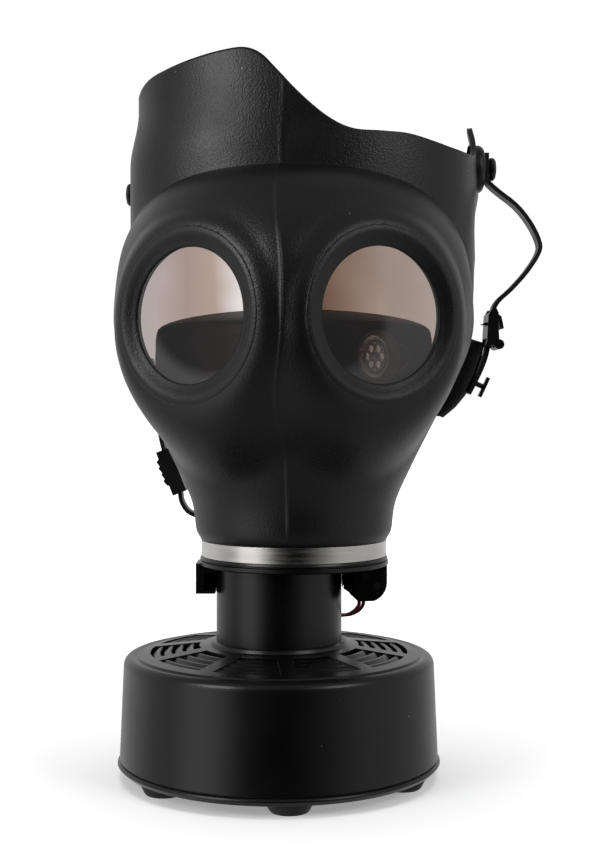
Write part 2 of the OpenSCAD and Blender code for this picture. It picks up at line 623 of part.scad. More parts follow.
module at_slider() { translate([-54, left_y, 141]) rotate([0, -21.5, 0]) children(); }
module slider_left() {
    color("#131314") at_slider() difference() {
        translate([-3.6, -7.5, -11.5]) cube([7.2, 15, 23]);
        translate([-1.6, -5.4, -13]) cube([3.6, 10.8, 26]);
        translate([-6, -5.4, -7]) cube([6, 10.8, 16.2]);
        translate([-2.4, -9, 7]) rotate([-90, 0, 0]) cylinder(r = 0.85, h = 20);
    }
}

module slider_lever() {
    leaf = concat([[-2.2, 7.9], [-3.6, 8.1]], [for (k = [0:3]) each [[-5.4 - (k % 2) * 0.2, 7 - k * 3.4], [-4.7, 4.4 - k * 3.4]]], [[-3.7, -6.4], [-2, -6.4]]);
    color("#1f1f21") at_slider() {
        translate([-2.4, -7.3, 7]) rotate([-90, 0, 0]) cylinder(r = 0.8, h = 14.6);
        along_y(-5.1, 5.1) polygon(leaf);
    }
}

base_plate();
feet();
base_gasket();
base_screws();
filter_pleats();
filter_caps();
canister();
louvre_ring();
neck_tube();
motor_bracket();
motor();
motor_screws();
motor_shaft();
impeller();
wire_grommet();
red_wire();
black_wire();
collar();
collar_cover();
cover_screws();
collar_seal();
clamp_band();
clamp_nut();
clamp_screw();
facepiece();
eye_rim_left();
eye_rim_right();
eye_gasket_left();
eye_gasket_right();
lens_left();
lens_right();
eye_retainer_left();
eye_retainer_right();
inner_mask();
valve_seat();
valve_disc();
valve_clip();
button_right();
button_left();
washer_left();
strap_right();
buckle_right();
buckle_lever();
cheek_strap_right();
t_stud_right();
cheek_strap_left();
slider_left();
slider_lever();
t_stud_left();
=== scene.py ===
"""A full-face respirator standing on its round powered filter base.
Lengths are written in millimetres and turned into metres by MM. +Z is up and -Y is the front."""

import math

import bmesh
import bpy
import numpy as np
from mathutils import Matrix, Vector


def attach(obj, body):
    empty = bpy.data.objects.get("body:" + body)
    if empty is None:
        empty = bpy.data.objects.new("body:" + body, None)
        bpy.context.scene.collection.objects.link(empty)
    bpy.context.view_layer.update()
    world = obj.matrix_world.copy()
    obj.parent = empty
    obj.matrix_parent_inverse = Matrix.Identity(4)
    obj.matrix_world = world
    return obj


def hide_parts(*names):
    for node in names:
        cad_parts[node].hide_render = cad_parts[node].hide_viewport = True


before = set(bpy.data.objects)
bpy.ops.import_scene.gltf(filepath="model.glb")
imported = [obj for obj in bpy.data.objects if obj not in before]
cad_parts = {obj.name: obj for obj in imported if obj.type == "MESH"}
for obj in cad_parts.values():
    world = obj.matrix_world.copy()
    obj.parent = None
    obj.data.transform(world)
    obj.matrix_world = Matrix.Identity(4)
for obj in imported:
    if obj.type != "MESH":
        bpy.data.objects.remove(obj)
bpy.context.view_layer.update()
scene = bpy.context.scene

# ---- Base housing ----
# A drum with a plate under it, the tube that rises from its lid, and the collar with its cover.
# All are moulded in satin black plastic and screwed together.
MM = 0.001
DUST = (0.35, 0.34, 0.32, 1)


def nodes_of(name):
    """A new material, its nodes, its links and its main shader."""
    finish = bpy.data.materials.new(name)
    finish.use_nodes = True
    tree = finish.node_tree
    return finish, tree.nodes, tree.links, tree.nodes["Principled BSDF"]


def noise_at(nodes, links, scale, detail=3.0, stretch=None):
    """Noise fixed to the piece. Scale is in cycles per metre."""
    place = nodes.new("ShaderNodeTexCoord")
    texture = nodes.new("ShaderNodeTexNoise")
    texture.inputs["Scale"].default_value = scale
    texture.inputs["Detail"].default_value = detail
    if stretch:
        mapping = nodes.new("ShaderNodeMapping")
        mapping.inputs["Scale"].default_value = stretch
        links.new(place.outputs["Object"], mapping.inputs["Vector"])
        links.new(mapping.outputs["Vector"], texture.inputs["Vector"])
    else:
        links.new(place.outputs["Object"], texture.inputs["Vector"])
    return texture


def spread(nodes, links, source, low, high, start=0.3, end=0.7):
    """Turns a noise value into a range."""
    ramp = nodes.new("ShaderNodeMapRange")
    ramp.inputs["From Min"].default_value = start
    ramp.inputs["From Max"].default_value = end
    ramp.inputs["To Min"].default_value = low
    ramp.inputs["To Max"].default_value = high
    links.new(source, ramp.inputs["Value"])
    return ramp.outputs["Result"]


def calc(nodes, links, operation, *values):
    """The result of a sum on numbers and node outputs."""
    node = nodes.new("ShaderNodeMath")
    node.operation = operation
    for socket, value in zip(node.inputs, values):
        if isinstance(value, (int, float)):
            socket.default_value = value
        else:
            links.new(value, socket)
    return node.outputs[0]


def dust_over(nodes, links, colour_in, share, scale=260.0):
    """Sparse pale specks of dust over a colour."""
    place = nodes.new("ShaderNodeTexCoord")
    cells = nodes.new("ShaderNodeTexVoronoi")
    cells.inputs["Scale"].default_value = scale
    links.new(place.outputs["Object"], cells.inputs["Vector"])
    near = spread(nodes, links, cells.outputs["Distance"], 1, 0, 0.06, 0.13)
    pick = nodes.new("ShaderNodeSeparateColor")
    links.new(cells.outputs["Color"], pick.inputs["Color"])
    chosen = spread(nodes, links, pick.outputs["Red"], 0, 1, 1 - share, 1 - share + 0.01)
    mix = nodes.new("ShaderNodeMix")
    mix.data_type = "RGBA"
    links.new(calc(nodes, links, "MULTIPLY", near, chosen), mix.inputs["Factor"])
    links.new(colour_in, mix.inputs["A"])
    mix.inputs["B"].default_value = DUST
    return mix.outputs["Result"]


def moulded(name, colour, rough, grain, depth, edge=0.4, metal=0.0, dust=0.0, uneven=0.06, stretch=None):
    """A solid finish: a fine grain, an uneven gloss, a slight change of tone, softened edges and dust.
    Grain is the size of one pebble and depth its height, in millimetres."""
    finish, nodes, links, shader = nodes_of(name)
    shader.inputs["Metallic"].default_value = metal
    broad = noise_at(nodes, links, 45, 4, stretch)
    gloss = spread(nodes, links, broad.outputs["Fac"], rough - uneven, rough + uneven)
    links.new(gloss, shader.inputs["Roughness"])
    tone = nodes.new("ShaderNodeMix")
    tone.data_type = "RGBA"
    tone.inputs["A"].default_value = (*(c * 0.8 for c in colour), 1)
    tone.inputs["B"].default_value = (*(min(c * 1.2, 1) for c in colour), 1)
    links.new(broad.outputs["Fac"], tone.inputs["Factor"])
    colour_out = tone.outputs["Result"]
    if dust:
        colour_out = dust_over(nodes, links, colour_out, dust)
    links.new(colour_out, shader.inputs["Base Color"])
    round_edge = nodes.new("ShaderNodeBevel")
    round_edge.samples = 4
    round_edge.inputs["Radius"].default_value = edge * MM
    fine = noise_at(nodes, links, 1 / (grain * MM), 2, stretch)
    bump = nodes.new("ShaderNodeBump")
    bump.inputs["Strength"].default_value = 1
    bump.inputs["Distance"].default_value = depth * MM
    links.new(fine.outputs["Fac"], bump.inputs["Height"])
    links.new(round_edge.outputs["Normal"], bump.inputs["Normal"])
    links.new(bump.outputs["Normal"], shader.inputs["Normal"])
    return finish


def show(names, finish):
    """Pieces that keep their exact CAD shape and take this finish."""
    for name in names:
        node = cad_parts[name]
        node.data.materials.clear()
        node.data.materials.append(finish)


satin_plastic = moulded("satin_plastic", (0.003, 0.003, 0.0034), 0.29,
                        grain=0.5, depth=0.008, dust=0.05, uneven=0.04)
show(["base_plate", "canister", "neck_tube", "collar", "collar_cover"], satin_plastic)

# ---- Screws and shaft ----
# Zinc-plated steel, turned bright: the screws of the base and motor, the motor's shaft, and the screw
# and nut of the clamp band. The small screws of the collar's cover are blackened.
zinc = moulded("zinc", (0.55, 0.54, 0.52), 0.3, grain=0.3, depth=0.01, metal=1, edge=0.15)
show(["base_screws", "motor_screws", "motor_shaft", "clamp_nut", "clamp_screw"], zinc)
black_steel = moulded("black_steel", (0.03, 0.03, 0.032), 0.35, grain=0.3, depth=0.01, metal=0.6, edge=0.15)
show(["cover_screws"], black_steel)

# ---- Feet and seals ----
# Soft black rubber: the feet under the plate, the gasket and the seal that keep the joints tight,
# the sleeve where the leads come out, and the gasket that beds each lens in its rim.
foot_rubber = moulded("foot_rubber", (0.018, 0.018, 0.018), 0.6, grain=0.4, depth=0.03)
show(["feet"], foot_rubber)
seal_rubber = moulded("seal_rubber", (0.010, 0.010, 0.010), 0.5, grain=0.5, depth=0.01, edge=0.2)
show(["base_gasket", "wire_grommet", "collar_seal", "eye_gasket_left", "eye_gasket_right"],
     seal_rubber)

# ---- Filter and blower ----
# Inside the drum a ring of pleated paper stands between two grey end caps. A small metal motor on its
# bracket turns the impeller, and the louvre ring in the lid lets the air in.
filter_paper = moulded("filter_paper", (0.62, 0.60, 0.52), 0.9, grain=0.3, depth=0.04, edge=0.1)
show(["filter_pleats"], filter_paper)
grey_plastic = moulded("grey_plastic", (0.06, 0.06, 0.065), 0.4, grain=0.5, depth=0.01)
show(["filter_caps", "motor_bracket"], grey_plastic)
grille_plastic = moulded("grille_plastic", (0.006, 0.006, 0.0065), 0.3,
                         grain=0.5, depth=0.01, dust=0.08, uneven=0.05)
show(["louvre_ring"], grille_plastic)
motor_metal = moulded("motor_metal", (0.42, 0.42, 0.43), 0.32, grain=0.4, depth=0.01, metal=1)
show(["motor"], motor_metal)
impeller_plastic = moulded("impeller_plastic", (0.045, 0.05, 0.06), 0.35, grain=0.5, depth=0.01, edge=0.2)
show(["impeller"], impeller_plastic)

# ---- Leads ----
# Two thin insulated wires, one red and one black. They run from the collar, behind the tube and through
# the lid to the motor.
red_insulation = moulded("red_insulation", (0.62, 0.012, 0.022), 0.38, grain=0.3, depth=0.01, edge=0.1)
show(["red_wire"], red_insulation)
black_insulation = moulded("black_insulation", (0.012, 0.012, 0.012), 0.4, grain=0.3, depth=0.01, edge=0.1)
show(["black_wire"], black_insulation)

# ---- Clamp band ----
# A strip of brushed stainless steel goes round the rubber neck and holds it on the collar.
# A screw at its ends draws it tight. The brush lines run round it.
brushed_steel = moulded("brushed_steel", (0.74, 0.72, 0.69), 0.24,
                        grain=0.6, depth=0.006, metal=1, edge=0.2, uneven=0.07, stretch=(1, 1, 14))
show(["clamp_band"], brushed_steel)

# ---- Facepiece ----
# One moulded rubber shell: a bulb round the face, a forehead skirt that stands up out of its crown,
# and a parting ridge down the front. Its back is open for the face, and the clamp band holds its neck.
AXIS_X = 7  # the mask stands this far to the side of the base
EYE_Z = 212
EYE_ANGLES = {"left": -35, "right": 29}
REAR_Y = 30.9  # the shell ends here, in front of the face opening
RUBBER = 2.6
face_rubber = moulded("face_rubber", (0.006, 0.006, 0.0065), 0.37,
                      grain=0.85, depth=0.15, edge=0.6, dust=0.03, uneven=0.05)
show(["facepiece"], face_rubber)


def spline(points, steps):
    """A smooth curve through the given points."""
    p = np.array(points, float)
    last = len(p) - 1
    out = []
    for i in range(last):
        a, b, c, d = p[max(i - 1, 0)], p[i], p[i + 1], p[min(i + 2, last)]
        for t in np.arange(steps) / steps:
            square, cube = 2 * a - 5 * b + 4 * c - d, 3 * b - a - 3 * c + d
            out.append(0.5 * (2 * b + (c - a) * t + square * t**2 + cube * t**3))
    out.append(p[last])
    return np.array(out)


def ease(low, high, value):
    """0 below low, 1 above high and a smooth step between."""
    t = np.clip((value - low) / (high - low), 0, 1)
    return t * t * (3 - 2 * t)


def run_length(path):
    """Distance walked along a path at each of its points."""
    steps = np.linalg.norm(np.diff(path, axis=0), axis=1)
    return np.concatenate([[0], np.cumsum(steps)])


def grid_faces(rows, cols, closed=False):
    """Quads between neighbouring rows of points."""
    wide = cols if closed else cols - 1
    faces = []
    for j in range(rows - 1):
        low, high = j * cols, (j + 1) * cols
        faces += [(low + i, low + (i + 1) % cols, high + (i + 1) % cols, high + i) for i in range(wide)]
    return faces


def soften(piece, angle):
    """Smooth shading, except across edges sharper than the angle."""
    bm = bmesh.new()
    bm.from_mesh(piece.data)
    limit = math.radians(angle)
    for edge in bm.edges:
        edge.smooth = not (len(edge.link_faces) == 2 and edge.calc_face_angle(0) > limit)
    for face in bm.faces:
        face.smooth = True
    bm.to_mesh(piece.data)
    bm.free()


def make_piece(name, points, faces, body, finish, smooth_angle):
    """A new piece from points in millimetres, riding on a body."""
    mesh = bpy.data.meshes.new(name)
    mesh.from_pydata([tuple(q) for q in np.array(points) * MM], [], faces)
    mesh.validate()
    mesh.shade_smooth()
    mesh.materials.append(finish)
    piece = bpy.data.objects.new(name, mesh)
    scene.collection.objects.link(piece)
    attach(piece, body)
    soften(piece, smooth_angle)
    return piece


def thicken(piece, amount, offset=-1):
    """Gives a surface its wall."""
    wall = piece.modifiers.new("wall", "SOLIDIFY")
    wall.thickness = amount * MM
    wall.offset = offset


def eye_axes(angle):
    """The way one eye looks and the level line across it."""
    turn = math.radians(angle)
    return np.array([math.sin(turn), -math.cos(turn), 0]), np.array([math.cos(turn), math.sin(turn), 0])


BULB = [(43.6, 111), (44.6, 113), (46, 116), (48, 129), (55, 145), (66, 167), (77, 188), (83.2, 205), (84, 220),
        (81, 243), (75, 258), (66, 270), (54, 277.5), (38, 281), (16, 282)]
bulb = spline(BULB, 10)
bulb_run = run_length(bulb)
top_half = bulb[bulb[:, 1] >= 220]


def bulb_radius(z):
    return np.interp(z, bulb[:, 1], bulb[:, 0])


def bulb_height(radius):
    """Height at which the crown has this radius."""
    return np.interp(-radius, -top_half[:, 0], top_half[:, 1])


# Plan of the skirt: half an oval with a run back along each temple
oval = [(11 + 82 * math.cos(a), 12 + 60 * math.sin(a)) for a in np.radians(np.linspace(185, 355, 35))]
left_temple = [(-74.2, 64), (-73, 50), (-72, 38), (-71.3, 24)]
right_temple = [(94.2, 22), (95.4, 32), (97, 42), (98, 48)]
plan = spline(left_temple + oval + right_temple, 6)
plan_run = run_length(plan)
plan_azimuth = np.arctan2(plan[:, 0] - AXIS_X, -plan[:, 1])
plan_radius = np.hypot(plan[:, 0] - AXIS_X, plan[:, 1])
side_left, side_right = plan[:, 0] < 0, plan[:, 0] > 40


def rear_run(y, side):
    """Place along the plan where one temple reaches back to y."""
    order = np.argsort(plan[side][:, 1])
    return np.interp(y, plan[side][order, 1], plan_run[side][order])


def front_run(x):
    """Place along the plan for an x on its front."""
    front = (plan_azimuth > -1.5) & (plan_azimuth < 1.5)
    return np.interp(x, plan[front][:, 0], plan_run[front])


def opening_azimuth(z):
    """How far round from the front the shell reaches before the face opening cuts it."""
    cut = np.interp(z, [152, 192], [58, REAR_Y])
    reach = np.arccos(np.clip(-cut / bulb_radius(z), -1, 1))
    return np.where(z < CHIN_Z, math.pi, reach)


CHIN_Z = 151  # the shell closes all the way round below this height
BULB_ROWS, SKIRT_ROWS, HALF_COLS = 118, 44, 98
CREASE_MIN, CREASE_MAX = 234, 279.6
SEAM = math.radians(-3.1)
SEAM_LEAN = 0.06
# Columns run from -1 at the left rear edge to 1 at the right one, close together at the parting ridge
spacing = np.concatenate([[0.0012, 0.003, 0.006, 0.0115, 0.019], np.linspace(0.028, 1, HALF_COLS)])
u = np.concatenate([-spacing[::-1], [0], spacing])
COLS = len(u)


def seam_azimuth(z):
    """The parting ridge leans a little to the left at the crown."""
    return SEAM - SEAM_LEAN * ease(225, 279, z)


def azimuth(u, z):
    """Where each column stands at a height, as an angle from straight ahead."""
    seam = seam_azimuth(z)
    return seam + u * (opening_azimuth(z) - np.sign(u) * seam)


def ridge(off_seam, height):
    """A thin raised line on a broad low swell."""
    return 0.25 * np.exp(-off_seam / 9) + height * np.exp(-((off_seam / 0.42) ** 2))


# The crease is where the bulb reaches the skirt's plan, found by stepping towards it
crease = np.full(COLS, 260.0)
for _ in range(30):
    meets = bulb_height(np.interp(azimuth(u, crease), plan_azimuth, plan_radius))
    crease = (np.clip(meets, CREASE_MIN, CREASE_MAX) + crease) / 2

# The bulb widens into the skirt's plan, and its nose bridge fills the hollow between the eyes
BRIDGE_HEIGHT, BRIDGE_WIDTH = 3.4, 15
points = []
for row in np.linspace(0, 1, BULB_ROWS):
    z = np.interp(row * np.interp(crease, bulb[:, 1], bulb_run), bulb_run, bulb[:, 1])
    angle = azimuth(u, z)
    radius = bulb_radius(z)
    wide = np.interp(angle, plan_azimuth, plan_radius)
    radius = radius + np.maximum(wide - radius, 0) * ease(194, CREASE_MIN, z)
    off_seam = np.abs(angle - seam_azimuth(z)) * radius
    bridge = BRIDGE_HEIGHT * np.exp(-((off_seam / BRIDGE_WIDTH) ** 2))
    bridge = bridge * ease(166, 204, z) * (1 - ease(232, 266, z))
    radius = radius + ridge(off_seam, 0.42) * ease(112, 124, z) + bridge
    points.append(np.stack([AXIS_X + radius * np.sin(angle), -radius * np.cos(angle), z], 1))

# The skirt is a patch between the crease, the two rear edges and the top edge, laid out as (run, height)
foot_run = np.interp(azimuth(u, crease), plan_azimuth, plan_run)
foot = np.stack([foot_run, crease], 1)
left_edge = [(REAR_Y, CREASE_MIN), (36, 250), (42, 258.5), (52, 264), (60, 270.5), (62.3, 281), (60, 291),
             (54, 300)]
right_edge = [(31.5, CREASE_MIN), (29, 246), (28.5, 257), (32, 268), (38, 276), (41.5, 286), (39.5, 297)]
top_left = [(54, 300), (44, 307.5), (34, 312.5), (22, 315.8), (8, 318.4)]
top_front = [(-64, 323.6), (-55, 325.8), (-42, 328.4), (-28, 330.4), (-17, 330.8), (-9, 327.6), (-2, 321),
             (9, 310.2), (22, 300), (33, 295.2), (46, 294.8), (58, 294.6), (70, 292.6), (80, 291)]
top_right = [(-6, 290.6), (4, 292), (11, 296), (17, 303), (23, 308.6), (29, 308.8), (35, 304), (39.5, 297)]


def along_edge(curve, count):
    """Evenly spaced points along a smooth curve."""
    fine = spline(curve, 8)
    run = run_length(fine)
    at = np.linspace(0, run[-1], count)
    return np.stack([np.interp(at, run, fine[:, 0]), np.interp(at, run, fine[:, 1])], 1)


left_fine, right_fine = along_edge(left_edge, SKIRT_ROWS), along_edge(right_edge, SKIRT_ROWS)
left_side = np.stack([rear_run(left_fine[:, 0], side_left), left_fine[:, 1]], 1)
right_side = np.stack([rear_run(right_fine[:, 0], side_right), right_fine[:, 1]], 1)
left_side[0], right_side[0] = foot[0], foot[-1]
top_line = [(float(rear_run(y, side_left)), z) for y, z in top_left]
top_line += [(float(front_run(x)), z) for x, z in top_front]
top_line += [(float(rear_run(y, side_right)), z) for y, z in top_right]
top_fine = spline(top_line, 8)
top_at = run_length(top_fine)
share = run_length(foot) / run_length(foot)[-1] * 0.35 + (u + 1) / 2 * 0.65
top = np.stack([np.interp(share * top_at[-1], top_at, top_fine[:, k]) for k in (0, 1)], 1)

# The right temple stands out by this much at these heights
FLARE_Z, FLARE_X = [234, 245, 258, 268, 278, 300, 308], [0, 1, 0.6, 1, 2.4, 1.2, -0.6]
skirt = []
for j, v in enumerate(np.linspace(0, 1, SKIRT_ROWS)):
    w = ((u + 1) / 2)[:, None]
    patch = (1 - v) * foot + v * top + (1 - w) * left_side[j] + w * right_side[j]
    patch -= (1 - w) * ((1 - v) * foot[0] + v * top[0]) + w * ((1 - v) * foot[-1] + v * top[-1])
    run, z = patch[:, 0], patch[:, 1]
    x, y = np.interp(run, plan_run, plan[:, 0]), np.interp(run, plan_run, plan[:, 1])
    flare = np.interp(z, FLARE_Z, FLARE_X) * ease(-5, 25, y) * (x > 0)
    off_seam = np.abs(run - np.interp(SEAM - SEAM_LEAN, plan_azimuth, plan_run))
    lean_in = 4 * ease(286, 312, z) * ease(30, -50, x)
    skirt.append(np.stack([x + flare + lean_in, y - ridge(off_seam, 0.36), z], 1))
points += skirt[1:]
shell = np.array(points).reshape(-1, 3)

# Round each eye the rubber rises in a soft shoulder that carries the rim, wider below and outward
EYE_SEAT, SEAT_R, SHOULDER, WIDER_BELOW, WIDER_OUTWARD = 80.1, 36.0, 10.0, 28, 6
FRONT_HALF = 40  # only points further along an eye's axis than this belong to its side
eye_middle = np.array([AXIS_X, 0, EYE_Z])
near_eye = np.full(len(shell), 1e3)
for angle in EYE_ANGLES.values():
    out, across = eye_axes(angle)
    from_axis = shell - eye_middle
    depth = from_axis @ out
    from_centre = np.hypot(from_axis @ across, from_axis[:, 2])
    inside = depth > FRONT_HALF
    below = np.clip(-from_axis[:, 2] / np.maximum(from_centre, 1), 0, 1)
    outward = np.clip(from_axis @ across * np.sign(angle) / np.maximum(from_centre, 1), 0, 1)
    shoulder = SHOULDER + WIDER_BELOW * below**1.3 + WIDER_OUTWARD * outward
    target = EYE_SEAT + (depth - EYE_SEAT) * ease(SEAT_R, SEAT_R + shoulder, from_centre)
    shell[inside] += ((target - depth)[:, None] * out)[inside]
    near_eye = np.where(inside, np.minimum(near_eye, from_centre), near_eye)
# The quads over the lenses are left out, and points that end up in one place become one
ROWS = BULB_ROWS + SKIRT_ROWS - 1
faces = [f for f in grid_faces(ROWS, COLS) if min(near_eye[i] for i in f) > SEAT_R - 0.4]
facepiece = make_piece("face_shell", shell, faces, "mask", face_rubber, 42)
bm = bmesh.new()
bm.from_mesh(facepiece.data)
bmesh.ops.remove_doubles(bm, verts=bm.verts, dist=0.02 * MM)
loose = [v for v in bm.verts if not v.link_faces]
bmesh.ops.delete(bm, geom=loose, context="VERTS")
bm.to_mesh(facepiece.data)
bm.free()
thicken(facepiece, RUBBER)
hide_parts("facepiece")

# ---- Rims and retainers of the eyes ----
# Each rim is a rubber ring whose face slopes inward like a funnel, down to the lens it holds.
# The ring that holds each lens from behind is countersunk, so that it stays out of sight.
UP = np.array([0, 0, 1])
RIM = spline([(29.2, 76.9), (29.2, 77.5), (29.8, 78), (31.4, 78.7), (33.3, 79.7), (34.7, 80.3), (35.9, 80.5),
              (37, 80.35), (38, 79.95), (38.6, 78.4)], 4)
RETAINER = [(35.8, 73.9), (35.8, 71.2), (34.8, 71.2), (30.2, 73.8), (30.2, 73.9), (35.8, 73.9)]
TURNS = 120
rim_plastic = moulded("rim_plastic", (0.006, 0.006, 0.0065), 0.4,
                      grain=0.85, depth=0.15, edge=0.5, dust=0.02)
show(["eye_rim_left", "eye_rim_right", "eye_retainer_left", "eye_retainer_right"],
     rim_plastic)


def turned(profile, centre, axis, side, third, count):
    """Points of a ring turned about an axis, from a profile of (radius, distance along the axis)."""
    angles = np.arange(count) / count * 2 * math.pi
    round_line = [side * math.cos(a) + third * math.sin(a) for a in angles]
    return [centre + axis * d + r * q for r, d in profile for q in round_line]


for side, angle in EYE_ANGLES.items():
    out, across = eye_axes(angle)
    ring = turned(RIM, eye_middle, out, across, UP, TURNS)
    quads = grid_faces(len(RIM), TURNS, closed=True)
    rim = make_piece("rim_" + side, ring, quads, "mask", rim_plastic, 60)
    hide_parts("eye_rim_" + side)
    ring = turned(RETAINER, eye_middle, out, across, UP, TURNS)
    quads = grid_faces(len(RETAINER), TURNS, closed=True)
    retainer = make_piece("retainer_" + side, ring, quads, "mask", rim_plastic, 35)
    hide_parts("eye_retainer_" + side)

# ---- Lenses ----
# Two flat round sheets of clear polycarbonate, each held in its rim. They carry a faint warm tint of their own,
# a few specks and a hard gloss. How light each lens looks changes across it, and a whitish layer lies near its
# edge: both are painted reflection.


def blend_shaders(nodes, links, share, first, second):
    """A mix of two shaders."""
    mix = nodes.new("ShaderNodeMixShader")
    links.new(share, mix.inputs["Fac"])
    links.new(first, mix.inputs[1])
    links.new(second, mix.inputs[2])
    return mix.outputs["Shader"]


def lens_finish(name, angle, left_edge, right_edge, tints_and_reflections, reflection_free_middle, reflection_free_r):
    """Clear polycarbonate, warm-tinted, with a few specks and a hard gloss. Lighter and darker stretches across
    the lens are painted reflection.
    The colours run from the left edge to the right edge, in equal steps. A faint whitish layer outside a middle
    spot, which is centred at (x, z) and has a radius in millimetres, is a painted reflection."""
    finish, nodes, links, _ = nodes_of(name)
    place = nodes.new("ShaderNodeTexCoord")
    axes = nodes.new("ShaderNodeSeparateXYZ")
    links.new(place.outputs["Object"], axes.inputs["Vector"])

    # The tint bends a little, so that it doesn't run in straight bands
    wander = 22
    cloud = noise_at(nodes, links, 26, 2)
    bent = calc(nodes, links, "MULTIPLY_ADD", cloud.outputs["Fac"], wander * MM, axes.outputs["X"])
    start, end = (left_edge + wander / 2) * MM, (right_edge + wander / 2) * MM
    # The ramp carries the lens's warm tint together with painted reflection: lighter where the lens would
    # reflect bright surroundings, darker where it would reflect the dark camera side.
    ramp = nodes.new("ShaderNodeValToRGB")
    links.new(spread(nodes, links, bent, 0, 1, start, end), ramp.inputs["Fac"])
    stops = ramp.color_ramp.elements
    while len(stops) < len(tints_and_reflections):
        stops.new(0.5)
    for k, tint_and_reflection in enumerate(tints_and_reflections):
        stops[k].position = k / (len(tints_and_reflections) - 1)
        stops[k].color = (*tint_and_reflection, 1)
    clear = nodes.new("ShaderNodeBsdfTransparent")
    links.new(dust_over(nodes, links, ramp.outputs["Color"], 0.02, 300), clear.inputs["Color"])

    # A whitish diffuse layer outside a middle spot is a painted reflection, a pale crescent towards the lens's
    # rim.
    painted_reflection_layer = nodes.new("ShaderNodeBsdfDiffuse")
    painted_reflection_layer.inputs["Color"].default_value = (0.8, 0.8, 0.82, 1)
    middle = nodes.new("ShaderNodeCombineXYZ")
    links.new(axes.outputs["X"], middle.inputs["X"])
    links.new(axes.outputs["Z"], middle.inputs["Z"])
    gap = nodes.new("ShaderNodeVectorMath")
    gap.operation = "DISTANCE"
    links.new(middle.outputs["Vector"], gap.inputs[0])
    gap.inputs[1].default_value = (reflection_free_middle[0] * MM, 0, reflection_free_middle[1] * MM)
    painted_reflection_share = spread(nodes, links, gap.outputs["Value"], 0, 0.1, reflection_free_r * MM, (reflection_free_r + 5) * MM)
    body = blend_shaders(nodes, links, painted_reflection_share, clear.outputs["BSDF"], painted_reflection_layer.outputs["BSDF"])

    # The gloss is on the outer side of each face only, because light inside the sheet leaves it again
    gloss = nodes.new("ShaderNodeBsdfGlossy")
    gloss.inputs["Roughness"].default_value = 0.06
    flat = nodes.new("ShaderNodeCombineXYZ")
    flat.inputs["X"].default_value = math.sin(math.radians(angle))
    flat.inputs["Y"].default_value = -math.cos(math.radians(angle))
    links.new(flat.outputs["Vector"], gloss.inputs["Normal"])
    fresnel = nodes.new("ShaderNodeFresnel")
    fresnel.inputs["IOR"].default_value = 1.5
    side = nodes.new("ShaderNodeNewGeometry")
    outer = calc(nodes, links, "SUBTRACT", 1, side.outputs["Backfacing"])
    share = calc(nodes, links, "MULTIPLY", fresnel.outputs["Fac"], outer)
    whole = blend_shaders(nodes, links, share, body, gloss.outputs["BSDF"])
    links.new(whole, nodes["Material Output"].inputs["Surface"])
    return finish


# Left edge, right edge, middle of the spot without painted reflection, its radius, and the tints with painted
# reflection from left to right
LENS_TINTS_AND_REFLECTIONS = {
    "left": (-64, -12, (-26, 216), 27, [
        (0.70, 0.66, 0.66), (0.66, 0.60, 0.58), (0.60, 0.52, 0.49), (0.64, 0.56, 0.52), (0.86, 0.84, 0.83)]),
    "right": (16, 72, (22, 212), 22, [
        (0.36, 0.26, 0.21), (0.46, 0.37, 0.32), (0.58, 0.50, 0.46), (0.60, 0.53, 0.49), (0.66, 0.60, 0.56)]),
}
for side, (left_end, right_end, reflection_free_middle, reflection_free_r, tints_and_reflections) in LENS_TINTS_AND_REFLECTIONS.items():
    finish = lens_finish("lens_" + side, EYE_ANGLES[side], left_end, right_end, tints_and_reflections, reflection_free_middle, reflection_free_r)
    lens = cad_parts["lens_" + side]
    lens.data.materials.clear()
    lens.data.materials.append(finish)

# ---- Inner mask and its valve ----
# A soft rubber cup covers the nose and mouth inside the shell. Clear plastic makes the seat of its
# valve and the clip, and a milky silicone disc lifts off the seat to let air in.


def clear_finish(name, colour, milk):
    """Clear or milky plastic that lets most light straight through."""
    finish, nodes, links, shader = nodes_of(name)
    shader.inputs["Base Color"].default_value = (*colour, 1)
    tone = noise_at(nodes, links, 300, 3)
    links.new(spread(nodes, links, tone.outputs["Fac"], 0.12, 0.3), shader.inputs["Roughness"])
    clear = nodes.new("ShaderNodeBsdfTransparent")
    clear.inputs["Color"].default_value = (0.93, 0.94, 0.95, 1)
    share = spread(nodes, links, tone.outputs["Fac"], milk * 0.85, milk * 1.1)
    whole = blend_shaders(nodes, links, share, clear.outputs["BSDF"], shader.outputs["BSDF"])
    links.new(whole, nodes["Material Output"].inputs["Surface"])
    return finish


inner_rubber = moulded("inner_rubber", (0.012, 0.012, 0.013), 0.5,
                       grain=0.7, depth=0.03, edge=0.8, dust=0.06)
show(["inner_mask"], inner_rubber)
clear_plastic = clear_finish("clear_plastic", (0.55, 0.56, 0.58), 0.55)
show(["valve_seat", "valve_clip"], clear_plastic)
clear_silicone = clear_finish("clear_silicone", (0.6, 0.61, 0.63), 0.35)
show(["valve_disc"], clear_silicone)

# ---- Flange behind the cheeks ----
# A flat rubber edge on each side of the face opening, whose outer border rolls back.
# A tab on each cheek turns back from it and carries the strap stud.
RIGHT_FLANGE = [(80, 168.5), (86, 173.5), (91, 179.5), (95.5, 189), (98.6, 197.5), (100, 204.4), (95.6, 205.2),
                (91.4, 207), (88.8, 214), (88, 225), (90, 236), (93, 250), (93.4, 262)]
LEFT_FLANGE = [(-58, 166), (-62, 169.5), (-65.6, 177), (-69, 187), (-71.6, 196), (-73, 215), (-73.6, 235),
               (-72, 250), (-68, 262)]
FLANGE_ROWS, FLANGE_COLS, FLANGE_WALL = 90, 12, 2.0


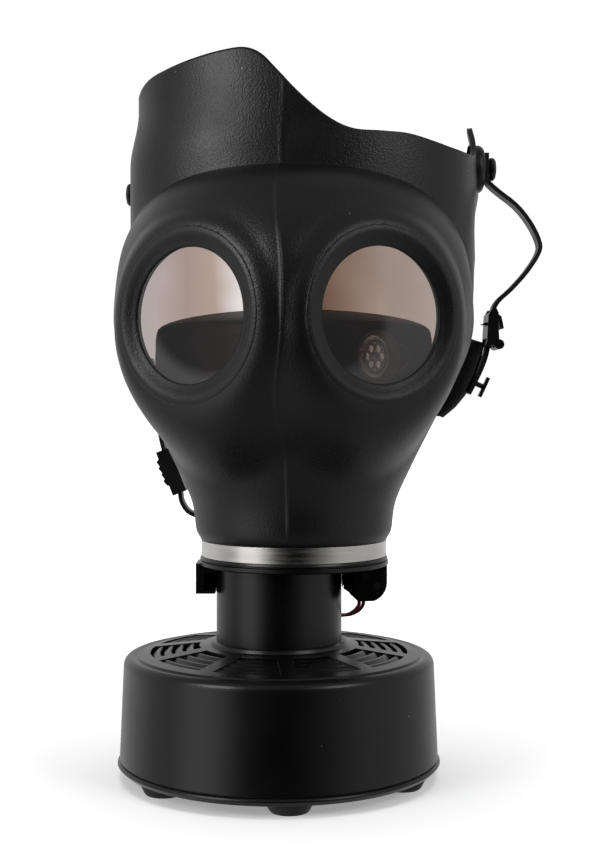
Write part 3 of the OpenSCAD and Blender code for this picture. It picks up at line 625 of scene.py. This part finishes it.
def flange_strip(outline, side, tab_low, tab_high, tab_depth):
    """Rows from the shell's edge to the outline, round the rolled border and back along the tab."""
    edge = np.array(outline)
    rows = []
    for z in np.linspace(edge[0, 1], edge[-1, 1], FLANGE_ROWS):
        x_out = np.interp(z, edge[:, 1], edge[:, 0])
        x_in = AXIS_X + side * (math.sqrt(max(bulb_radius(z) ** 2 - REAR_Y**2, 1)) - 1.6)
        tab = tab_depth * ease(tab_low, tab_low + 3, z) * (1 - ease(tab_high - 1.2, tab_high, z))
        flat = [(x_in + (x_out - side * 1.6 - x_in) * t, 29.4) for t in np.linspace(0, 1, 6)]
        bend = [(x_out - side * 0.5, 29.8), (x_out, 31)]
        back = [(x_out, 31 + (0.8 + tab) * t) for t in (0.25, 0.5, 0.75, 1)]
        rows += [(x, y, z) for x, y in flat + bend + back]
    return rows, grid_faces(FLANGE_ROWS, FLANGE_COLS)


FLANGES = {"right": (1, RIGHT_FLANGE, (173, 204.6, 10.4)), "left": (-1, LEFT_FLANGE, (173, 200, 0))}
for side, (sign, outline, tab_size) in FLANGES.items():
    rows, quads = flange_strip(outline, sign, *tab_size)
    strip = make_piece("flange_" + side, rows, quads, "mask", face_rubber, 50)
    thicken(strip, FLANGE_WALL, 0)
tab_line = spline([(-64.7, 197), (-62.6, 187), (-60.4, 177), (-57.8, 171)], 6)
tab_rows = [(x, y, z) for x, z in tab_line for y in np.linspace(28.6, 46, FLANGE_COLS)]
quads = grid_faces(len(tab_line), FLANGE_COLS)
tab = make_piece("cheek_tab_left", tab_rows, quads, "mask", face_rubber, 50)
thicken(tab, FLANGE_WALL, 0)

# ---- Temple boss ----
# A round rubber pad on the right temple, with a soft outer edge.
# The strap button presses into its middle.
PAD = spline([(11.6, -2), (11.6, 2.2), (11.1, 3.9), (9.8, 5.1), (7.6, 5.45), (2, 5.45)], 4)
PAD_TURNS = 64
pad_middle, sideways, backwards = np.array([94.4, 28, 289.5]), np.array([1, 0, 0]), np.array([0, 1, 0])
pad_points = turned(PAD, pad_middle, sideways, backwards, UP, PAD_TURNS)
quads = grid_faces(len(PAD), PAD_TURNS, closed=True)
make_piece("temple_boss", pad_points, quads, "mask", face_rubber, 60)

# ---- Strap fittings ----
# Hard black plastic: the press buttons at the temples, the T-studs on the cheeks, and the buckle and
# slider that the straps run through, each with its lever.
fitting_plastic = moulded("fitting_plastic", (0.010, 0.010, 0.011), 0.32,
                          grain=0.4, depth=0.01, edge=0.35, dust=0.04)
show(["button_right", "button_left", "washer_left", "buckle_right", "buckle_lever", "t_stud_right",
     "slider_left", "slider_lever", "t_stud_left"], fitting_plastic)

# ---- Straps ----
# Short bands of black rubber that hang from the temple button and the cheek studs.
strap_rubber = moulded("strap_rubber", (0.013, 0.013, 0.014), 0.42,
                       grain=0.5, depth=0.03, edge=0.4, dust=0.05)
show(["strap_right", "cheek_strap_right", "cheek_strap_left"], strap_rubber)

# ---- Camera ----
# It stands 65 cm in front of the base, a little to the right, at the height of the cheeks.
camera = bpy.data.objects.new("camera", bpy.data.cameras.new("camera"))
scene.collection.objects.link(camera)
scene.camera = camera
camera.location = (9.9 * MM, -651 * MM, 174 * MM)
camera.rotation_euler = (math.radians(90 - 0.893), 0, 0)
camera.data.sensor_width = 36
camera.data.lens = 58.24
camera.data.clip_start = 0.01

# ---- Light ----
# A white sweep all round that is dark behind the camera, with a brighter stretch far to the left.
# A soft light stands high on each side, and one over the table lights the table alone.
world = bpy.data.worlds.new("white_sweep")
scene.world = world
world.use_nodes = True
wn, wl = world.node_tree.nodes, world.node_tree.links
direction = wn.new("ShaderNodeTexCoord")
axes = wn.new("ShaderNodeSeparateXYZ")
wl.new(direction.outputs["Generated"], axes.inputs["Vector"])
heading = calc(wn, wl, "ARCTAN2", axes.outputs["X"], calc(wn, wl, "MULTIPLY", axes.outputs["Y"], -1))
share_round = calc(wn, wl, "ADD", calc(wn, wl, "DIVIDE", heading, 2 * math.pi), 0.5)
ring_light = wn.new("ShaderNodeValToRGB")
wl.new(share_round, ring_light.inputs["Fac"])
# Brightness by heading in degrees: 0 is behind the camera, negative is to its left
HEADINGS = [(-180, 0.7), (-115, 0.6), (-90, 0.4), (-76, 0.5), (-67, 1.0), (-46, 1.0), (-36, 0.5), (-24, 0.06),
            (-8, 0.0), (12, 0.0), (27, 0.08), (42, 0.22), (58, 0.42), (120, 0.45), (150, 0.62), (180, 0.7)]
stops = ring_light.color_ramp.elements
while len(stops) < len(HEADINGS):
    stops.new(0.5)
for stop, (heading_deg, level) in zip(stops, HEADINGS):
    stop.position = heading_deg / 360 + 0.5
    stop.color = (level, level, level, 1)
steep = spread(wn, wl, calc(wn, wl, "ABSOLUTE", axes.outputs["Z"]), 0, 1, 0.35, 0.9)
overhead = wn.new("ShaderNodeMix")
overhead.data_type = "RGBA"
wl.new(steep, overhead.inputs["Factor"])
wl.new(ring_light.outputs["Color"], overhead.inputs["A"])
overhead.inputs["B"].default_value = (0.26, 0.26, 0.27, 1)
seen = wn.new("ShaderNodeLightPath")
pick = wn.new("ShaderNodeMix")
pick.data_type = "RGBA"
wl.new(seen.outputs["Is Camera Ray"], pick.inputs["Factor"])
wl.new(overhead.outputs["Result"], pick.inputs["A"])
pick.inputs["B"].default_value = (1.05, 1.05, 1.05, 1)
wl.new(pick.outputs["Result"], wn["Background"].inputs["Color"])


def softbox(name, at, aim, size, power):
    """A rectangular light that the camera doesn't see. Places are in metres and power in watts."""
    data = bpy.data.lights.new(name, "AREA")
    data.shape = "RECTANGLE"
    data.size, data.size_y = size
    data.energy = power
    lamp = bpy.data.objects.new(name, data)
    scene.collection.objects.link(lamp)
    lamp.location = at
    lamp.rotation_euler = (Vector(aim) - Vector(at)).to_track_quat("-Z", "Y").to_euler()
    lamp.visible_camera = False
    return lamp


softbox("left_light", (-0.7, -0.64, 0.6), (0, 0, 0.2), (0.4, 0.5), 2.6)
softbox("right_light", (0.66, -0.58, 0.66), (0, 0, 0.25), (0.4, 0.4), 1.3)
table_light = softbox("table_light", (0.0, 0.0, 1.4), (0, 0, 0), (1.2, 1.2), 11.4)

# The white table shows its shadows to the camera; its reflection is part of the sweep
floor_mesh = bpy.data.meshes.new("floor")
floor_mesh.from_pydata([(-9, -9, 0), (9, -9, 0), (9, 9, 0), (-9, 9, 0)], [], [(0, 1, 2, 3)])
floor = bpy.data.objects.new("floor", floor_mesh)
scene.collection.objects.link(floor)
floor.visible_glossy = False
floor.visible_diffuse = False
only_floor = bpy.data.collections.new("table_only")
only_floor.objects.link(floor)
table_light.light_linking.receiver_collection = only_floor
paper, pn, pl, paper_shader = nodes_of("paper")
paper_shader.inputs["Base Color"].default_value = (0.85, 0.85, 0.85, 1)
paper_shader.inputs["Roughness"].default_value = 0.9
paper_shader.inputs["Specular IOR Level"].default_value = 0.0
paper_shader.inputs["Emission Color"].default_value = (1, 1, 1, 1)
place = pn.new("ShaderNodeTexCoord")
away = pn.new("ShaderNodeVectorMath")
away.operation = "LENGTH"
pl.new(place.outputs["Object"], away.inputs[0])
glow = spread(pn, pl, away.outputs["Value"], 0.30, 1.05, 0.25, 1.1)
pl.new(glow, paper_shader.inputs["Emission Strength"])
floor_mesh.materials.append(paper)

scene.view_settings.view_transform = "Standard"
